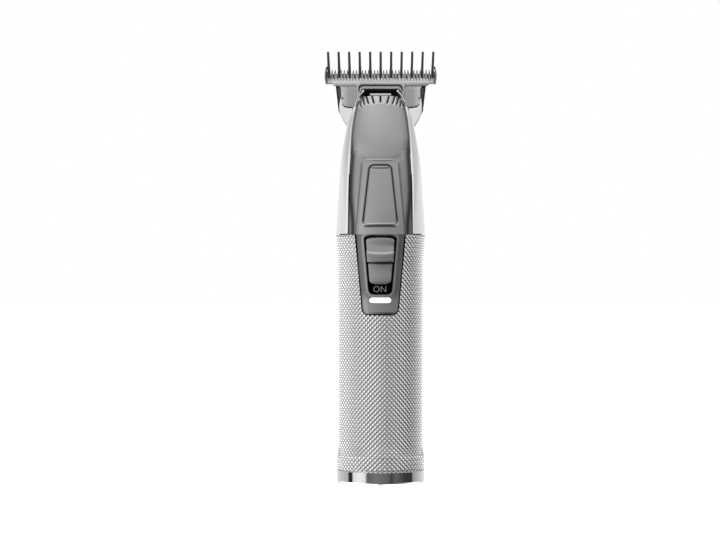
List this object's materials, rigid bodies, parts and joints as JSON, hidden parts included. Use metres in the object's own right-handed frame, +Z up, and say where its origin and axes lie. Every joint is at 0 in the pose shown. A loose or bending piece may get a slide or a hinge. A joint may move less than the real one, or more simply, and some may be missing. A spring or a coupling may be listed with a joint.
{
  "type": "cordless beard trimmer",
  "caption": "Slim cordless T-blade beard trimmer with knurled metal handle, slide switch and a clip-on long-tooth guide comb.",
  "frame": {"origin": "middle of the flat base that the trimmer stands on", "axes": "+Z up the handle to the blades, -Y the side with the switch, +X to the right when looking at the switch"},
  "size_m": [0.0412, 0.0333, 0.1592],
  "materials": {
    "satin_metal": "satin plated aluminium with a 45 degree diamond knurl",
    "bright_chrome": "bright mirror plating",
    "dark_chrome": "dark smoked chrome, glossy",
    "blade_steel": "ground stainless steel",
    "black_plastic": "black moulded plastic",
    "comb_plastic": "black semi-gloss moulded plastic",
    "grey_plastic": "dark grey moulded plastic",
    "white_lens": "milky lit diffuser",
    "circuit_board": "green solder mask",
    "cell_wrap": "blue shrink wrap",
    "nickel": "nickel plated steel",
    "bronze": "sintered bronze",
    "winding": "enamelled copper winding",
    "magnet": "sintered ferrite",
    "red_lead": "red insulated wire",
    "black_lead": "black insulated wire"
  },
  "bodies": {
    "housing": {"knurled_sleeve": "satin_metal", "bottom_cap": "bright_chrome", "chassis": "grey_plastic", "charging_socket": "nickel", "socket_tongue": "black_plastic", "charge_board": "circuit_board", "battery_cell": "cell_wrap", "battery_tab_positive": "nickel", "battery_tab_negative": "nickel", "circuit_board": "circuit_board", "controller_chip": "black_plastic", "indicator_led": "white_lens", "motor_lead_red": "red_lead", "motor_lead_black": "black_lead", "charge_lead_red": "red_lead", "charge_lead_black": "black_lead", "front_cover": "dark_chrome", "rear_housing": "bright_chrome", "switch_body": "grey_plastic", "label_plate": "black_plastic", "indicator_lens": "white_lens", "motor_can": "nickel", "motor_end_bell": "black_plastic", "motor_bush_front": "bronze", "motor_bush_rear": "bronze", "motor_magnet_left": "magnet", "motor_magnet_right": "magnet", "motor_plate": "grey_plastic", "motor_screw_left": "nickel", "motor_screw_right": "nickel", "fixed_blade": "blade_steel", "blade_carrier": "bright_chrome", "carrier_screw_left": "nickel", "carrier_screw_right": "nickel", "blade_screw_left": "nickel", "blade_screw_right": "nickel", "spring_wire_left": "nickel", "spring_wire_right": "nickel"},
    "switch": {"switch_knob": "dark_chrome", "switch_slider": "black_plastic"},
    "rotor": {"motor_shaft": "nickel", "motor_armature": "winding", "motor_commutator": "bronze", "eccentric_cam": "grey_plastic"},
    "cutter": {"moving_blade": "blade_steel", "drive_yoke": "black_plastic"},
    "comb": {"guide_comb": "comb_plastic"}
  },
  "joints": [
    {"name": "power_switch", "type": "slide", "parent": "housing", "child": "switch", "axis": [0, 0, 1], "range_m": [-0.0036, 0]},
    {"name": "motor_spin", "type": "hinge", "parent": "housing", "child": "rotor", "pos_m": [0, -0.002, 0.1], "axis": [0, 0, 1], "continuous": true},
    {"name": "blade_stroke", "type": "slide", "parent": "housing", "child": "cutter", "axis": [1, 0, 0], "range_m": [-0.001, 0.001]},
    {"name": "comb_slide", "type": "slide", "parent": "housing", "child": "comb", "axis": [0, 0, 1], "range_m": [0, 0.045]}
  ]
}
